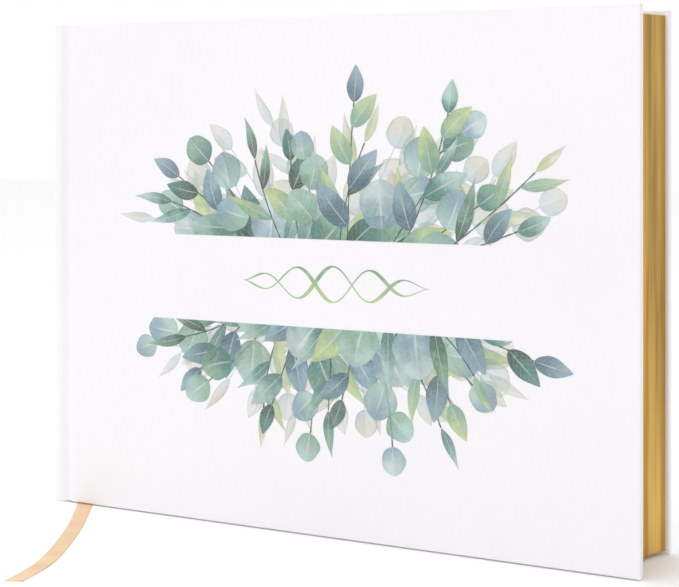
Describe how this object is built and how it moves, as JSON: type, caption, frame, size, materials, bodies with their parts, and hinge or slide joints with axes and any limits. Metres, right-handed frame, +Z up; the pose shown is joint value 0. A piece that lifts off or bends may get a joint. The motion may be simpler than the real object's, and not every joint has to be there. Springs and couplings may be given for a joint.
{
  "type": "guest book",
  "caption": "Landscape hardcover guest book standing on its tail edge, with hinged covers, turning leaves, gilt-edged sewn sections and a satin ribbon marker.",
  "frame": {"origin": "on the surface that the book stands on, under the middle of its closed box; the free ribbon tail doesn't count", "axes": "+Z up along the spine, front cover faces -Y, spine at -X, the leaves' fore-edge at +X"},
  "size_m": [0.245, 0.1341, 0.19],
  "materials": {
    "cover_sheet": "laminated printed cover paper, white with a watercolour leaf print, satin",
    "grey_board": "dense grey binder's board, matt",
    "endpaper": "smooth ivory endpaper, matt",
    "page_paper": "cream uncoated paper with gilt edges",
    "cotton": "unbleached woven cotton",
    "thread": "waxed linen thread",
    "kraft": "brown kraft paper",
    "band": "woven silk end band in ivory and gold stripes",
    "satin": "pale gold satin ribbon"
  },
  "bodies": {
    "text_block": {"spine_card": "grey_board", "spine_wrap": "cover_sheet", "front_joint": "cover_sheet", "back_joint": "cover_sheet", "front_leaf_folds": "page_paper", "back_leaf_folds": "page_paper", "section_1": "page_paper", "section_2": "page_paper", "section_3": "page_paper", "section_4": "page_paper", "section_5": "page_paper", "section_6": "page_paper", "section_7": "page_paper", "section_8": "page_paper", "sewing_tapes": "cotton", "sewing_thread": "thread", "mull": "cotton", "spine_liner": "kraft", "headband": "band", "tailband": "band", "ribbon_marker": "satin", "ribbon_tail": "satin"},
    "front_cover": {"front_board": "grey_board", "front_wrap": "cover_sheet", "front_pastedown": "endpaper"},
    "back_cover": {"back_board": "grey_board", "back_wrap": "cover_sheet", "back_pastedown": "endpaper"},
    "front_flyleaf_sheet": {"front_flyleaf": "endpaper"},
    "front_leaf_1_sheet": {"front_leaf_1": "page_paper"},
    "front_leaf_2_sheet": {"front_leaf_2": "page_paper"},
    "front_leaf_3_sheet": {"front_leaf_3": "page_paper"},
    "back_flyleaf_sheet": {"back_flyleaf": "endpaper"},
    "back_leaf_1_sheet": {"back_leaf_1": "page_paper"},
    "back_leaf_2_sheet": {"back_leaf_2": "page_paper"},
    "back_leaf_3_sheet": {"back_leaf_3": "page_paper"}
  },
  "joints": [
    {"name": "front_cover_hinge", "type": "hinge", "parent": "text_block", "child": "front_cover", "pos_m": [-0.11052, -0.0195, 0], "axis": [0, 0, -1], "range_deg": [0, 180]},
    {"name": "back_cover_hinge", "type": "hinge", "parent": "text_block", "child": "back_cover", "pos_m": [-0.11052, 0.0195, 0], "axis": [0, 0, 1], "range_deg": [0, 180]},
    {"name": "front_flyleaf_turn", "type": "hinge", "parent": "text_block", "child": "front_flyleaf_sheet", "pos_m": [-0.10352, -0.0156, 0], "axis": [0, 0, -1], "range_deg": [0, 129.6]},
    {"name": "front_leaf_1_turn", "type": "hinge", "parent": "text_block", "child": "front_leaf_1_sheet", "pos_m": [-0.10352, -0.0156, 0], "axis": [0, 0, -1], "range_deg": [0, 118.8]},
    {"name": "front_leaf_2_turn", "type": "hinge", "parent": "text_block", "child": "front_leaf_2_sheet", "pos_m": [-0.10352, -0.0156, 0], "axis": [0, 0, -1], "range_deg": [0, 108]},
    {"name": "front_leaf_3_turn", "type": "hinge", "parent": "text_block", "child": "front_leaf_3_sheet", "pos_m": [-0.10352, -0.0156, 0], "axis": [0, 0, -1], "range_deg": [0, 97.2]},
    {"name": "back_flyleaf_turn", "type": "hinge", "parent": "text_block", "child": "back_flyleaf_sheet", "pos_m": [-0.10352, 0.0156, 0], "axis": [0, 0, 1], "range_deg": [0, 129.6]},
    {"name": "back_leaf_1_turn", "type": "hinge", "parent": "text_block", "child": "back_leaf_1_sheet", "pos_m": [-0.10352, 0.0156, 0], "axis": [0, 0, 1], "range_deg": [0, 118.8]},
    {"name": "back_leaf_2_turn", "type": "hinge", "parent": "text_block", "child": "back_leaf_2_sheet", "pos_m": [-0.10352, 0.0156, 0], "axis": [0, 0, 1], "range_deg": [0, 108]},
    {"name": "back_leaf_3_turn", "type": "hinge", "parent": "text_block", "child": "back_leaf_3_sheet", "pos_m": [-0.10352, 0.0156, 0], "axis": [0, 0, 1], "range_deg": [0, 97.2]}
  ],
  "couplings": [
    {"joint": "front_flyleaf_turn", "follows": "front_cover_hinge", "ratio": 0.72},
    {"joint": "front_leaf_1_turn", "follows": "front_cover_hinge", "ratio": 0.66},
    {"joint": "front_leaf_2_turn", "follows": "front_cover_hinge", "ratio": 0.6},
    {"joint": "front_leaf_3_turn", "follows": "front_cover_hinge", "ratio": 0.54},
    {"joint": "back_flyleaf_turn", "follows": "back_cover_hinge", "ratio": 0.72},
    {"joint": "back_leaf_1_turn", "follows": "back_cover_hinge", "ratio": 0.66},
    {"joint": "back_leaf_2_turn", "follows": "back_cover_hinge", "ratio": 0.6},
    {"joint": "back_leaf_3_turn", "follows": "back_cover_hinge", "ratio": 0.54}
  ]
}
